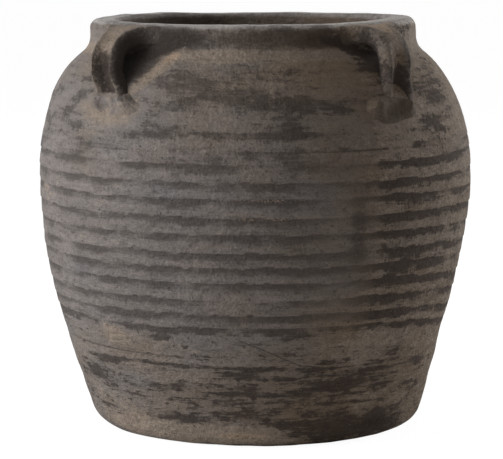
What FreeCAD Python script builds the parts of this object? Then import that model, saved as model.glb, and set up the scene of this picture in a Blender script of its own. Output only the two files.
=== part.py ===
import FreeCAD, Part
import math
import os

import Sketcher

# Large hand-thrown clay jar with four strap lugs, built as the sections of clay that a potter lutes together.
# Millimetres, +Z up, the origin at the middle of the underside, a lug on each of +X, +Y, -X and -Y.

SIZES = {
    # Widths
    "belly_radius": 214,
    "foot_inset": 54,           # from the belly in to where the flank would meet the ground
    "collar_inset": 53,         # from the belly in to the collar
    "rim_width": 29,            # from the collar in to the mouth
    # Heights: the low seam from the ground, and each next one from the one before
    "low_seam_height": 83,
    "flank_rise": 37,           # the flank stays straight up to here
    "belly_rise": 134,          # up to the widest place
    "belly_top_rise": 30,       # up to the high seam
    "shoulder_rise": 46,        # up to where the curve tightens
    "collar_height": 16.6,      # from the hollow of the neck to the top
    # Curves of the outside
    "foot_round": 20,
    "lower_curve": 484,
    "upper_curve": 190,
    "shoulder_curve": 99,
    "neck_curve": 19,
    "rim_round": 9,
    # Walls and joints
    "wall": 14,
    "slab_edge": 3.6,           # edge of the slab above its rounded foot
    "lap_height": 6,            # lip of a section that the next section laps over
    "drain_radius": 12,
    "mouth_depth": 18,          # upright stretch inside the mouth
    "mouth_round": 4,
    # Grooves that the fingers left in the belly
    "groove_count": 12,
    "groove_depth": 1.2,
    "finger_radius": 6.5,
    # Lugs
    "lug_drop": 5,              # from the top of the rim
    "lug_stand": 2,             # how far the strap stands out from the shoulder where it ends
    "lug_bend": 40,
    "lug_width": 34,
    "lug_thickness": 14,
    "lug_flare": 36,            # curve of the strap as it widens towards the rim
    "lug_root": 2,              # how far the widened end lies inside the collar
    "lug_edge_round": 4,
    "lug_lip": 1.4,             # flat left between a rounded edge and the thumb groove
    "lug_groove_depth": 3,
    # Pads pressed over the feet of the lugs
    "pad_drop": 4,              # from where the shoulder's curve tightens
    "pad_half_width": 34,
    "pad_half_height": 18,
    "pad_depth": 10,
}

# What follows from the sizes. A radius is counted from the axis, and a height from the ground.
WORKED = {
    "foot_radius": "size.belly_radius - size.foot_inset",
    "collar_radius": "size.belly_radius - size.collar_inset",
    "mouth_radius": "worked.collar_radius - size.rim_width",
    "flank_top": "size.low_seam_height + size.flank_rise",
    "belly_height": "worked.flank_top + size.belly_rise",
    "high_seam_height": "worked.belly_height + size.belly_top_rise",
    "shoulder_height": "worked.high_seam_height + size.shoulder_rise",
    # The straight flank, from the ground to the belly's lower curve
    "lower_centre": "size.belly_radius - size.lower_curve",
    "lower_across": "sqrt(size.lower_curve^2 - size.belly_rise^2)",
    "flank_radius": "worked.lower_centre + worked.lower_across",
    "flank_out": "worked.flank_radius - worked.foot_radius",
    "flank_length": "sqrt(worked.flank_out^2 + worked.flank_top^2)",
    "flank_slope": "worked.flank_out / worked.flank_top",
    "flank_wall": "size.wall * worked.flank_length / worked.flank_top",
    # The rounded foot touches the ground and the flank
    "foot_reach": "size.foot_round * (worked.flank_length - worked.flank_out) / worked.flank_top",
    "ground_radius": "worked.foot_radius - worked.foot_reach",
    "foot_end_radius": "worked.foot_radius + worked.foot_reach * worked.flank_out / worked.flank_length",
    "foot_end_height": "worked.foot_reach * worked.flank_top / worked.flank_length",
    "slab_top": "worked.foot_end_height + size.slab_edge",
    # The belly's upper curve, up to where the shoulder takes over
    "upper_centre": "size.belly_radius - size.upper_curve",
    "shoulder_up": "size.belly_top_rise + size.shoulder_rise",
    "shoulder_across": "sqrt(size.upper_curve^2 - worked.shoulder_up^2)",
    "shoulder_radius": "worked.upper_centre + worked.shoulder_across",
    # The shoulder's curve, and the hollow neck that touches it and the collar
    "curve_left": "1 - size.shoulder_curve / size.upper_curve",
    "shoulder_centre": "worked.upper_centre + worked.shoulder_across * worked.curve_left",
    "shoulder_centre_height": "worked.belly_height + worked.shoulder_up * worked.curve_left",
    "neck_centre": "worked.collar_radius + size.neck_curve",
    "neck_across": "worked.neck_centre - worked.shoulder_centre",
    "neck_span": "size.shoulder_curve + size.neck_curve",
    "neck_up": "sqrt(worked.neck_span^2 - worked.neck_across^2)",
    "neck_centre_height": "worked.shoulder_centre_height + worked.neck_up",
    "rim_height": "worked.neck_centre_height + size.collar_height",
    # Seams: the middle of the wall, where each lip stands
    "low_lap": "worked.foot_radius + worked.flank_slope * size.low_seam_height - worked.flank_wall / 2",
    "upper_inner_curve": "size.upper_curve - size.wall",
    "high_seam_radius": "worked.upper_centre + sqrt(size.upper_curve^2 - size.belly_top_rise^2)",
    "high_seam_inside": "worked.upper_centre + sqrt(worked.upper_inner_curve^2 - size.belly_top_rise^2)",
    "high_lap": "(worked.high_seam_radius + worked.high_seam_inside) / 2",
    "high_lip_up": "size.belly_top_rise + size.lap_height",
    "high_lip_inside": "worked.upper_centre + sqrt(worked.upper_inner_curve^2 - worked.high_lip_up^2)",
    # Grooves and lugs
    "groove_pitch": "(worked.high_seam_height - size.low_seam_height) / (size.groove_count + 1)",
    "lug_reach": "worked.shoulder_radius + size.lug_stand",
    "lug_top": "worked.rim_height - size.lug_drop",
    "lug_centre": "worked.lug_reach - size.lug_bend",
    "lug_centre_height": "worked.lug_top - size.lug_bend",
    "lug_inside": "worked.lug_reach - size.lug_thickness",
    "flare_half": "size.lug_width / 2 + size.lug_flare",
    "flare_end": "sqrt(worked.collar_radius^2 - worked.flare_half^2) - size.lug_root",
    "flare_start": "worked.flare_end + size.lug_flare",
    "thumb_half": "size.lug_width / 2 - size.lug_edge_round - size.lug_lip",
    "thumb_curve": "(worked.thumb_half^2 + size.lug_groove_depth^2) / (2 * size.lug_groove_depth)",
    "pad_up": "worked.shoulder_up - size.pad_drop",
    "pad_radius": "worked.upper_centre + sqrt(size.upper_curve^2 - worked.pad_up^2)",
}

LUG_SIDES = ("right", "back", "left", "front")      # in quarter turns from +X
FULL_TURN = 360
NEAR = 0.01
CUTS = ("PartDesign::Groove", "PartDesign::Pocket", "PartDesign::SubtractivePipe")

doc = FreeCAD.newDocument("clay_jar")


def add_sheet(name, cells):
    sheet = doc.addObject("Spreadsheet::Sheet", name)
    for row, (alias, content) in enumerate(cells.items(), start=1):
        sheet.set(f"A{row}", alias)
        sheet.set(f"B{row}", content)
        sheet.setAlias(f"B{row}", alias)
    doc.recompute()
    return sheet


def value(formula):
    """The number that a formula on the sheets comes to."""
    return float(size_sheet.evalExpression(formula))


def flank_at(height):
    """Radius of the outside of the straight flank at a height."""
    return f"(worked.foot_radius + worked.flank_slope * ({height}))"


def flank_inside_at(height):
    return f"({flank_at(height)} - worked.flank_wall)"


def outside_at(height):
    """Radius of the outside of the belly section at a height."""
    up = f"({height} - worked.belly_height)"
    lower = f"(worked.lower_centre + sqrt(size.lower_curve^2 - {up}^2))"
    upper = f"(worked.upper_centre + sqrt(size.upper_curve^2 - {up}^2))"
    curved = f"({height} < worked.belly_height ? {lower} : {upper})"
    return f"({height} < worked.flank_top ? {flank_at(height)} : {curved})"


def add_sketch(body, role, name):
    """An empty sketch on one of the body's own origin planes."""
    sketch = body.newObject("Sketcher::SketchObject", name)
    plane = next(feature for feature in body.Origin.OriginFeatures if feature.Role == role)
    sketch.AttachmentSupport = (plane, [""])
    sketch.MapMode = "FlatFace"
    return sketch


def bind(sketch, formula, kind, *where):
    number = sketch.addConstraint(Sketcher.Constraint(kind, *where, value(formula)))
    sketch.setExpression(f"Constraints[{number}]", formula)


def pin(sketch, edge, end, across, up):
    """Holds a point of an edge at a place across and up from the sketch's origin."""
    for formula, kind, axis in ((across, "DistanceX", -2), (up, "DistanceY", -1)):
        if formula == "0":
            sketch.addConstraint(Sketcher.Constraint("PointOnObject", edge, end, axis))
        else:
            bind(sketch, formula, kind, -1, 1, edge, end)


def angle_about(centre, place):
    return math.atan2(place.y - centre.y, place.x - centre.x)


def draw_chain(sketch, steps, closed=True):
    """Draws a chain of straight and round stretches.

    A step of two formulas is a corner, across and up. A step of three formulas between two corners
    makes their stretch an arc: its radius, then its centre across and up."""
    corners = []
    arcs = {}
    for step in steps:
        if len(step) == 2:
            corners.append(step)
        else:
            arcs[len(corners) - 1] = step
    places = [FreeCAD.Vector(value(across), value(up), 0) for across, up in corners]
    stretches = len(corners) if closed else len(corners) - 1
    chain = []
    for number in range(stretches):
        start = places[number]
        finish = places[(number + 1) % len(places)]
        ends = (1, 2)
        if number in arcs:
            radius, *centre = arcs[number]
            centre = FreeCAD.Vector(value(centre[0]), value(centre[1]), 0)
            first, last = start, finish
            if (start - centre).cross(finish - centre).z < 0:
                first, last = finish, start
                ends = (2, 1)
            circle = Part.Circle(centre, FreeCAD.Vector(0, 0, 1), value(radius))
            shape = Part.ArcOfCircle(circle, angle_about(centre, first), angle_about(centre, last))
        else:
            shape = Part.LineSegment(start, finish)
        chain.append((sketch.addGeometry(shape), *ends))
    for number, (edge, start, finish) in enumerate(chain):
        if closed or number + 1 < stretches:
            following = chain[(number + 1) % stretches]
            sketch.addConstraint(Sketcher.Constraint("Coincident", edge, finish, following[0], following[1]))
        pin(sketch, edge, start, *corners[number])
        if number in arcs:
            bind(sketch, arcs[number][0], "Radius", edge)
    if not closed:
        edge, start, finish = chain[-1]
        pin(sketch, edge, finish, *corners[-1])


def draw_circle(sketch, radius, across, up):
    centre = FreeCAD.Vector(value(across), value(up), 0)
    edge = sketch.addGeometry(Part.Circle(centre, FreeCAD.Vector(0, 0, 1), value(radius)))
    bind(sketch, radius, "Radius", edge)
    pin(sketch, edge, 3, across, up)


def turn(body, kind, sketch, name):
    """Turns a half section once round the pot's axis."""
    feature = body.newObject(kind, name)
    feature.Profile = sketch
    feature.ReferenceAxis = (sketch, ["V_Axis"])
    feature.Angle = FULL_TURN
    return feature


def turned_body(label, steps):
    body = doc.addObject("PartDesign::Body", label)
    section = add_sketch(body, "XZ_Plane", label + "_section")
    draw_chain(section, steps)
    turn(body, "PartDesign::Revolution", section, label + "_turned")
    return body


FOOT = [
    ("worked.ground_radius", "0"),
    ("size.foot_round", "worked.ground_radius", "size.foot_round"),
    ("worked.foot_end_radius", "worked.foot_end_height"),
]
LOWER_BELLY = [
    ("worked.flank_radius", "worked.flank_top"),
    ("size.lower_curve", "worked.lower_centre", "worked.belly_height"),
    ("size.belly_radius", "worked.belly_height"),
    ("size.upper_curve", "worked.upper_centre", "worked.belly_height"),
]
SHOULDER = [
    ("worked.shoulder_radius", "worked.shoulder_height"),
    ("size.shoulder_curve", "worked.shoulder_centre", "worked.shoulder_centre_height"),
]


def on_neck(radius):
    """Place on the line from the shoulder's centre to the neck's centre."""
    share = f"({radius}) / worked.neck_span"
    return (
        f"worked.shoulder_centre + worked.neck_across * {share}",
        f"worked.shoulder_centre_height + worked.neck_up * {share}",
    )


NECK_OUTSIDE = on_neck("size.shoulder_curve")
NECK_INSIDE = on_neck("size.shoulder_curve - size.wall")
COLLAR = [
    NECK_OUTSIDE,
    ("size.neck_curve", "worked.neck_centre", "worked.neck_centre_height"),
    ("worked.collar_radius", "worked.neck_centre_height"),
    ("worked.collar_radius", "worked.rim_height - size.rim_round"),
    ("size.rim_round", "worked.collar_radius - size.rim_round", "worked.rim_height - size.rim_round"),
    ("worked.collar_radius - size.rim_round", "worked.rim_height"),
]


def seam(lap_radius, outside_radius, inside_radius, height, upward):
    """Corners of a lapped seam from the outside in, or from the inside out where the section stands on it."""
    lip = f"{height} + size.lap_height"
    corners = [(outside_radius, height), (lap_radius, height), (lap_radius, lip), (inside_radius, lip)]
    return corners if upward else corners[::-1]


def low_seam(upward):
    lip = "size.low_seam_height + size.lap_height"
    height = "size.low_seam_height"
    return seam("worked.low_lap", flank_at(height), flank_inside_at(lip), height, upward)


def high_seam(upward):
    height = "worked.high_seam_height"
    return seam("worked.high_lap", "worked.high_seam_radius", "worked.high_lip_inside", height, upward)


def make_base_slab():
    """Disc with a rounded foot and a drain hole, which the wall stands on."""
    top = [
        (flank_at("worked.slab_top"), "worked.slab_top"),
        ("size.drain_radius", "worked.slab_top"),
        ("size.drain_radius", "0"),
    ]
    return turned_body("base_slab", FOOT + top)


def make_lower_wall():
    foot = [
        (flank_inside_at("worked.slab_top"), "worked.slab_top"),
        (flank_at("worked.slab_top"), "worked.slab_top"),
    ]
    return turned_body("lower_wall", foot + low_seam(True))


def make_belly_wall():
    """Widest section, with the grooves that the fingers left in it."""
    inner_share = "(size.lower_curve - size.wall) / size.lower_curve"
    inside = [
        ("worked.upper_inner_curve", "worked.upper_centre", "worked.belly_height"),
        ("size.belly_radius - size.wall", "worked.belly_height"),
        ("size.lower_curve - size.wall", "worked.lower_centre", "worked.belly_height"),
        (
            f"worked.lower_centre + worked.lower_across * {inner_share}",
            f"worked.belly_height - size.belly_rise * {inner_share}",
        ),
    ]
    body = turned_body("belly_wall", low_seam(False) + LOWER_BELLY + high_seam(True) + inside)
    tracks = add_sketch(body, "XZ_Plane", "finger_tracks")
    for number in range(round(value("size.groove_count"))):
        height = f"(size.low_seam_height + {number + 1} * worked.groove_pitch)"
        across = f"{outside_at(height)} + size.finger_radius - size.groove_depth"
        draw_circle(tracks, "size.finger_radius", across, height)
    turn(body, "PartDesign::Groove", tracks, "finger_grooves")
    return body


def make_shoulder_wall():
    """Dome that closes in to the neck, where its edge is a cone that the collar sits in."""
    upper_share = "worked.upper_inner_curve / size.upper_curve"
    outside = [
        ("size.upper_curve", "worked.upper_centre", "worked.belly_height"),
        *SHOULDER,
        NECK_OUTSIDE,
        NECK_INSIDE,
    ]
    inside = [
        ("size.shoulder_curve - size.wall", "worked.shoulder_centre", "worked.shoulder_centre_height"),
        (
            f"worked.upper_centre + worked.shoulder_across * {upper_share}",
            f"worked.belly_height + worked.shoulder_up * {upper_share}",
        ),
        ("worked.upper_inner_curve", "worked.upper_centre", "worked.belly_height"),
    ]
    return turned_body("shoulder_wall", high_seam(False) + outside + inside)


def make_rim_collar():
    """Thick ring with a rounded rim, whose foot sits in the cone of the dome."""
    rounding = ("worked.mouth_radius + size.mouth_round", "worked.rim_height - size.mouth_round")
    mouth = [
        ("worked.mouth_radius + size.mouth_round", "worked.rim_height"),
        ("size.mouth_round", *rounding),
        ("worked.mouth_radius", "worked.rim_height - size.mouth_round"),
        ("worked.mouth_radius", "worked.rim_height - size.mouth_depth"),
        NECK_INSIDE,
    ]
    return turned_body("rim_collar", COLLAR + mouth)


def make_outer_form():
    """The pot's outside filled to the axis, for trimming what is pressed on to it."""
    axis = [("0", "worked.rim_height"), ("0", "0")]
    return turned_body("outer_form", FOOT + LOWER_BELLY + SHOULDER + COLLAR + axis)


def foot_corners(shape):
    """Names of the four upright edges at the strap's foot, outside its groove, which lead up to the rim."""
    groove_edge = value("worked.thumb_half")
    foot = value("worked.shoulder_height")
    names = []
    for number, edge in enumerate(shape.Edges, start=1):
        box = edge.BoundBox
        upright = max(box.XLength, box.YLength) < NEAR
        if upright and abs(box.ZMin - foot) < NEAR and abs(box.YMin) > groove_edge + NEAR:
            names.append(f"Edge{number}")
    return names


def make_strap():
    """Lug on +X before it is trimmed: drawn from the axis, bent down and ending under the pad."""
    body = doc.addObject("PartDesign::Body", "strap")
    bend_out = ("size.lug_bend", "worked.lug_centre", "worked.lug_centre_height")
    bend_in = ("size.lug_bend - size.lug_thickness", "worked.lug_centre", "worked.lug_centre_height")
    outer_face = [
        ("0", "worked.lug_top"),
        ("worked.lug_centre", "worked.lug_top"),
        bend_out,
        ("worked.lug_reach", "worked.lug_centre_height"),
        ("worked.lug_reach", "worked.shoulder_height"),
    ]
    inner_face = [
        ("worked.lug_inside", "worked.shoulder_height"),
        ("worked.lug_inside", "worked.lug_centre_height"),
        bend_in,
        ("worked.lug_centre", "worked.lug_top - size.lug_thickness"),
        ("0", "worked.lug_top - size.lug_thickness"),
    ]
    side = add_sketch(body, "XZ_Plane", "strap_side")
    draw_chain(side, outer_face + inner_face)
    blank = body.newObject("PartDesign::Pad", "strap_blank")
    blank.Profile = side
    blank.SideType = "Symmetric"
    blank.setExpression("Length", "2 * worked.flare_half")

    plan = add_sketch(body, "XY_Plane", "strap_plan")
    for sign in (1, -1):
        edge = f"{sign} * size.lug_width / 2"
        flared = f"{sign} * worked.flare_half"
        outer = f"{sign} * (worked.flare_half + size.lug_flare)"
        draw_chain(plan, [
            ("worked.flare_start", edge),
            ("size.lug_flare", "worked.flare_start", flared),
            ("worked.flare_end", flared),
            ("worked.flare_end", outer),
            ("worked.lug_reach + size.lug_flare", outer),
            ("worked.lug_reach + size.lug_flare", edge),
        ])
    waist = body.newObject("PartDesign::Pocket", "strap_waist")
    waist.Profile = plan
    waist.Type = "ThroughAll"
    waist.Reversed = True

    path = add_sketch(body, "XZ_Plane", "strap_path")
    draw_chain(path, outer_face, closed=False)
    thumb = add_sketch(body, "YZ_Plane", "thumb_section")
    thumb_height = "worked.lug_top + worked.thumb_curve - size.lug_groove_depth"
    draw_circle(thumb, "worked.thumb_curve", "0", thumb_height)
    groove = body.newObject("PartDesign::SubtractivePipe", "thumb_groove")
    groove.Profile = thumb
    groove.Spine = path
    doc.recompute()
    rounding = body.newObject("PartDesign::Fillet", "strap_rounding")
    rounding.Base = (groove, foot_corners(groove.Shape))
    rounding.setExpression("Radius", "size.lug_edge_round")
    return body


def make_pad(outer_form):
    """Lump of clay on +X, leaning with the shoulder, before the lug's foot is pressed into it."""
    lump = doc.addObject("Part::Ellipsoid", "pad_lump")
    # Any turn about Y sets the axis that the lump leans about
    lump.Placement.Rotation = FreeCAD.Rotation(FreeCAD.Vector(0, 1, 0), FULL_TURN / 4)
    lump.setExpression("Radius1", "size.pad_half_height")
    lump.setExpression("Radius2", "size.pad_depth")
    lump.setExpression("Radius3", "size.pad_half_width")
    lump.setExpression("Placement.Base.x", "worked.pad_radius")
    lump.setExpression("Placement.Base.z", "worked.belly_height + worked.pad_up")
    lump.setExpression("Placement.Rotation.Angle", "-asin(worked.pad_up / size.upper_curve)")
    return cut("pad_on_wall", lump, outer_form)


def cut(label, base, tool):
    trimmed = doc.addObject("Part::Cut", label)
    trimmed.Base = base
    trimmed.Tool = tool
    return trimmed


def around(label, base, tool):
    """A trimmed copy of a piece on each side of the pot."""
    copies = []
    for number, side in enumerate(LUG_SIDES):
        piece = cut(f"{label}_{side}", base, tool)
        quarter = FreeCAD.Rotation(FreeCAD.Vector(0, 0, 1), number * FULL_TURN / len(LUG_SIDES))
        piece.Placement = FreeCAD.Placement(FreeCAD.Vector(), quarter)
        copies.append(piece)
    return copies


def check(pieces):
    """Stops at anything that failed, cut nothing or isn't one valid solid."""
    for thing in doc.Objects:
        if "Invalid" in thing.State or "Error" in thing.State:
            raise RuntimeError(f"{thing.Label}: {thing.State}")
        if thing.TypeId in CUTS and thing.Shape.Volume >= thing.BaseFeature.Shape.Volume:
            raise RuntimeError(f"{thing.Label} cuts nothing")
    for piece in pieces:
        if piece.Shape.isNull() or not piece.Shape.isValid() or len(piece.Shape.Solids) != 1:
            raise RuntimeError(f"{piece.Label} isn't one valid solid")


size_sheet = add_sheet("size", {alias: str(number) for alias, number in SIZES.items()})
add_sheet("worked", {alias: "=" + formula for alias, formula in WORKED.items()})
outer_form = make_outer_form()
strap = make_strap()
pieces = [make_base_slab(), make_lower_wall(), make_belly_wall(), make_shoulder_wall(), make_rim_collar()]
pieces += around("lug", strap, outer_form)
pieces += around("lug_pad", make_pad(outer_form), strap)
doc.recompute()
check(pieces)

os.makedirs("parts", exist_ok=True)
for piece in pieces:
    piece.Shape.exportStep(f"parts/{piece.Label}.step")
    print(piece.Label, round(piece.Shape.Volume), piece.Shape.BoundBox)
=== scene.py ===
import functools
import math
from typing import NamedTuple

import bmesh
import bpy
from mathutils import Matrix, Vector, noise

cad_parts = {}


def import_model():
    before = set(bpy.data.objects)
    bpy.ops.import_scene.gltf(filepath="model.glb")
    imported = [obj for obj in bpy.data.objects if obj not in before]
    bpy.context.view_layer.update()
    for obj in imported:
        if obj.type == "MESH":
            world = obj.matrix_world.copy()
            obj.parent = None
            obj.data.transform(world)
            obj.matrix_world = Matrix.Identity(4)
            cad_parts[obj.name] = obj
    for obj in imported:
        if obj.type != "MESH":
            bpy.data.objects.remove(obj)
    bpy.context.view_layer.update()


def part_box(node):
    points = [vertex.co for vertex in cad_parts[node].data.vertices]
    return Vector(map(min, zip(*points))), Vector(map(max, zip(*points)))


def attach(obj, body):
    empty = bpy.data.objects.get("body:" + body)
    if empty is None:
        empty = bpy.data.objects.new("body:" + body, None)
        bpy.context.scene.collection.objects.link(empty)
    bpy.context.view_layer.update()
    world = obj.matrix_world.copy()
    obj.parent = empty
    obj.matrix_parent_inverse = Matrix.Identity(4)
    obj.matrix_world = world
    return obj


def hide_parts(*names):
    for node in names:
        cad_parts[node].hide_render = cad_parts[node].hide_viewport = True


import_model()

# Hand-thrown clay jar with four strap lugs. Metres, +Z up, the origin at the middle of the underside.
# A bearing is an angle in degrees round the pot, 0 towards the camera and rising to the right of the picture.
# Heights and depths of marks in the clay are given in millimetres.

MM = 0.001
VIEW_TURN = -45  # from +X to the camera, in degrees
RIGHT_TURN = math.radians(VIEW_TURN + 90)
RIGHTWARD = Vector((math.cos(RIGHT_TURN), math.sin(RIGHT_TURN), 0))

# Outside of the pot
BELLY_RADIUS = 214 * MM
BELLY_HEIGHT = 254 * MM
FOOT_RADIUS = 160 * MM  # where the flank would meet the ground
FOOT_ROUND = 20 * MM
FLANK_TOP = 120 * MM
LOWER_CURVE = 484 * MM
UPPER_CURVE = 190 * MM
SHOULDER_HEIGHT = 330 * MM
SHOULDER_CURVE = 99 * MM
NECK_CURVE = 19 * MM
COLLAR_RADIUS = 161 * MM
RIM_ROUND = 9 * MM
MOUTH_RADIUS = 132 * MM
MOUTH_ROUND = 6 * MM
MOUTH_DEPTH = 18 * MM
WALL = 14 * MM
DRAIN_RADIUS = 12 * MM

SLAB_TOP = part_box("base_slab")[1].z
LOW_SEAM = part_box("belly_wall")[0].z
HIGH_SEAM = 286.5 * MM
RIM_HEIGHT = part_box("rim_collar")[1].z

# Fineness of the meshes
COLUMNS = 480  # round the pot
DOUBLINGS = 4  # of the sector that is spun, to the whole ring
ROW = 1.5 * MM  # between rows of the outer skin
ROWS_PER_INNER_ROW = 6
WELD = 0.01 * MM  # places nearer than this are one place
SHARP_EDGE = math.radians(50)

# How far the throwing swung the wall off its axis, to the right of the picture, at a height
SWAY = (
    (0, 2.6), (20, 1.8), (45, 0.8), (66, 0.1), (85, -0.5), (104, -0.8), (145, -0.9), (175, -0.5), (200, 0.1),
    (221, 0.5), (258, 0.4), (290, 0.5), (312, 0), (330, -1.2), (350, -1.4), (365, -0.7), (380, -1.2),
    (400, -1.9),
)
# How far the wall swells past its even curve
SWELL = (
    (0, 0), (22, 0.6), (36, 1.0), (48, 0.3), (65, 0.9), (82, 0.5), (96, -0.3), (106, 0), (120, 0.4),
    (135, 0.2), (150, 0), (200, 0), (215, 0.4), (228, 0.8), (248, 0.6), (272, 0.6), (287, 0.4), (300, -0.2),
    (345, 0), (370, 0.1), (400, 0),
)
# Where the rim stands above its even height: bearing, half width in degrees and rise
RIM_RISES = ((92, 45, 2.7), (217, 13, 1.6), (239, 5, 0.8))
RIM_RISE_START = 372  # height from which a rise lifts the clay
RIM_RISE_FULL = 396

# The wall's unevenness: how far it stands proud, how fine it is round the pot, and the height of a swing
WALL_WAVES = ((0.75, 1.9, 70), (0.4, 5, 16), (0.16, 11, 3.2))
INSIDE_UNEVEN = 0.8
INSIDE_FINENESS = 30  # swings in a metre
UNDERSIDE_HOLLOW = 0.8  # how far the underside is pressed in

# Soot that lies all over the outside: a thin veil, patches that are stronger above the lower wall, and flecks
SOOT_VEIL = 0.14
PATCH_GRAIN = (3.1, 24)  # how fine round the pot, and the height of a swing
LOW_PATCHES = 0.25
ADDED_PATCHES = 0.35
PATCHES_START = 95
FLECK_GRAIN = (9, 9)
FLECKS = 0.42

# How dry the brush of soot was at a height: the drier, the more broken its edges
DRY = (
    (0, 0.75), (85, 0.75), (110, 0.65), (130, 0.45), (280, 0.45), (300, 0.55), (360, 0.5), (375, 0.4),
    (400, 0.5),
)

# Open lines where two sections of the wall meet: height and depth
SEAMS = ((LOW_SEAM / MM, 0.2), (HIGH_SEAM / MM, 0.6))
SEAM_HALF_WIDTH = 1.1
SEAM_OPEN = 0.6
SEAM_UNEVEN = 1.6
SEAM_SWINGS = 12  # in a turn
SEAM_SOOT = 0.8

# Lips that the fingers left in the belly: height, and the stretches where soot lies thickest under the lip,
# each with its bearing, half width in degrees and strength
LIPS = (
    (276.0, ((-25, 7, 0.6), (-12, 6, 0.55), (0, 6, 0.4), (20, 6, 0.3), (48, 12, 0.55))),
    (259.0, ((-42, 4, 0.6), (-29, 9, 0.4), (-17, 4, 0.7), (4, 14, 0.35), (29, 1, 0.8), (36, 5, 0.85),
             (51, 9, 0.6))),
    (243.5, ((-59, 7, 0.65), (-42, 10, 0.4), (-26, 7, 0.5), (-16, 4, 0.95), (0, 10, 0.35), (38, 4, 0.8),
             (44, 2, 0.95), (50, 4, 0.7))),
    (226.5, ((-60, 5, 0.6), (-40, 3, 0.5), (-28, 5, 0.5), (-15, 4, 0.95), (5, 11, 0.55), (39, 5, 0.85),
             (57, 16, 0.8))),
    (210.0, ((-60, 10, 0.4), (-42, 4, 0.5), (-22, 7, 0.6), (6, 22, 0.55), (40, 5, 0.9), (53, 9, 0.85))),
    (194.0, ((-58, 6, 0.4), (-47, 5, 0.65), (-30, 9, 0.5), (-8, 13, 0.6), (18, 8, 0.5), (40, 5, 0.85),
             (54, 9, 0.75))),
    (179.5, ((-56, 17, 0.45), (-24, 5, 0.5), (-5, 12, 0.5), (12, 10, 0.65), (41, 7, 0.9), (54, 6, 0.8))),
    (164.5, ((-58, 15, 0.45), (-36, 8, 0.6), (-25, 4, 0.5), (-9, 12, 0.5), (5, 10, 0.6), (16, 5, 0.5),
             (48, 14, 0.95))),
    (148.5, ((-55, 9, 0.5), (-30, 9, 0.7), (5, 10, 0.25), (43, 12, 0.95), (66, 4, 0.6))),
    (134.0, ((-52, 10, 0.5), (-30, 7, 0.75), (-8, 12, 0.5), (10, 20, 0.6), (54, 19, 0.85))),
    (121.0, ((-56, 9, 0.55), (-37, 5, 0.55), (-26, 5, 0.85), (-13, 9, 0.7), (8, 5, 0.8), (23, 2, 0.7),
             (33, 5, 0.8), (52, 14, 0.8))),
)
LIP_DEPTH = 1.1
LIP_FADE = 7.5  # how far below a lip its hollow and its soot run out
LIP_FADE_EDGE = 1.5
LIP_SOOT = 0.48
EDGE_SOOT = 0.3  # share of that soot right under the lip's edge
TOP_SOOT = 1.3  # and from there down to where it runs out
FOOT_SOOT = 0.75
BELLY_VEIL = 0.35  # share of the soot all over the outside that the belly has
EVEN_STAIN = 0.3  # strength of a stretch that is no darker than the rest
# Swings of a lip round the pot: strength, swings in a turn and layer of the noise
LIP_WANDER = ((1.4, 9, 0), (1.2, 40, 20), (1.3, 130, 100))
LIP_STAINING = ((0.45, 26, 40), (0.25, 70, 60))
LIP_DEEPENING = ((0.9, 20, 80),)
# The lower lips droop towards the right
DROOP = 0.006  # for each degree squared
DROOP_START = 30  # bearing
DROOP_REACH = 45
DROOP_TOP = 276  # height above which no lip droops
DROOP_SPAN = 150  # how far below that the droop is full

# Sides of the pot, in degrees of bearing
FRONT_END = 145  # nothing past it faces the camera
FRONT_FADE = 60
RIGHT_EDGE = 31.5  # where the rougher, browner right side starts
RIGHT_EDGE_BLUR = 1 / 1.2
WIPED_MIDDLE = 21  # of the upright stroke that was wiped smooth
WIPED_HALF = 8.5
WIPED_FOOT = LOW_SEAM + 35 * MM
# The clay turns browner to the right: partly its own tan, partly a painted warm tint of the side in shade
GREY_TO_BROWN = 12  # bearing halfway from the grey side to the brown side
BROWN_SPREAD = 1.6  # how soon the clay is all brown to the right of it
BROWN_FOOT = 95  # height below which the clay is browner
BROWN_NECK = 345  # height above which it is browner

# Marks on the outside: bearing, height, half width in degrees, half height, rise for each degree, strength.
# A mark of less than nothing stands for clay that the smoke spared; the marks at -74 on the collar and -62 on
# the belly are also painted light on the pot's left edge.
ALL_ROUND = 400
LUG_BEARINGS = (-45, 45, 135, 225)
COLLAR_SOOT_SHADE_AND_LIGHT = (
    (0, 388, ALL_ROUND, 9, 0, 0.8),
    # The mark at -74 is partly spared clay and partly painted light on the collar's left edge, towards the
    # key lamp
    (-74, 388, 16, 12, 0, -0.75), (-12, 388, 10, 9, 0, -0.2), (14, 388, 10, 9, 0, -0.2),
    # The mark at -27 is partly soot and partly painted shade on the collar beside the root of the lug at -45
    (74, 388, 16, 12, 0, -0.6), (-27, 387, 10, 13, 0, 0.8), (24, 386, 10, 11, 0, 0.4),
    (111, 386, 10, 13, 0, 0.5), (159, 386, 10, 13, 0, 0.5), (201, 386, 10, 13, 0, 0.5),
    (249, 386, 10, 13, 0, 0.5), (0, 371, ALL_ROUND, 6, 0, 0.22),
)
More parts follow.
